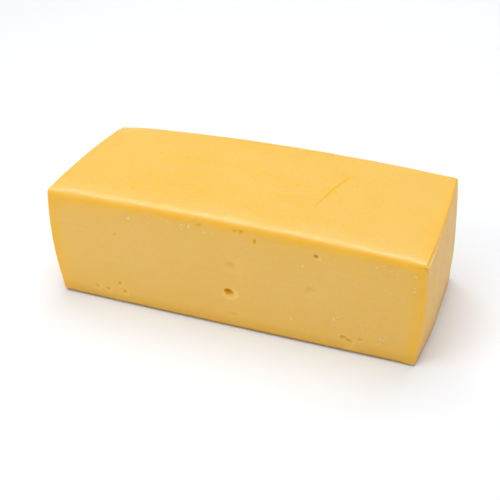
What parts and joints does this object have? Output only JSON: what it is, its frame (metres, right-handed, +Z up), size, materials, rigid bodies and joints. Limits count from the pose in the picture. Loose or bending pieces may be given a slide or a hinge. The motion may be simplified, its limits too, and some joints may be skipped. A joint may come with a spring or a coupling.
{
  "type": "cheddar block",
  "caption": "Long brick-shaped block of cheddar with a gently crowned top, rounded edges, bellied ends and small eyes in its long side. Lies flat on its base.",
  "frame": {"origin": "middle of the block's footprint, on the plane it rests on", "axes": "+X along the block to its right end, +Y to its back, +Z up; the shown long side faces -Y"},
  "size_m": [0.2064, 0.0896, 0.0664],
  "materials": {
    "cheese": "matte, slightly waxy cut cheese, pale orange-yellow"
  },
  "bodies": {
    "root": {"cheese_block": "cheese"}
  },
  "joints": []
}
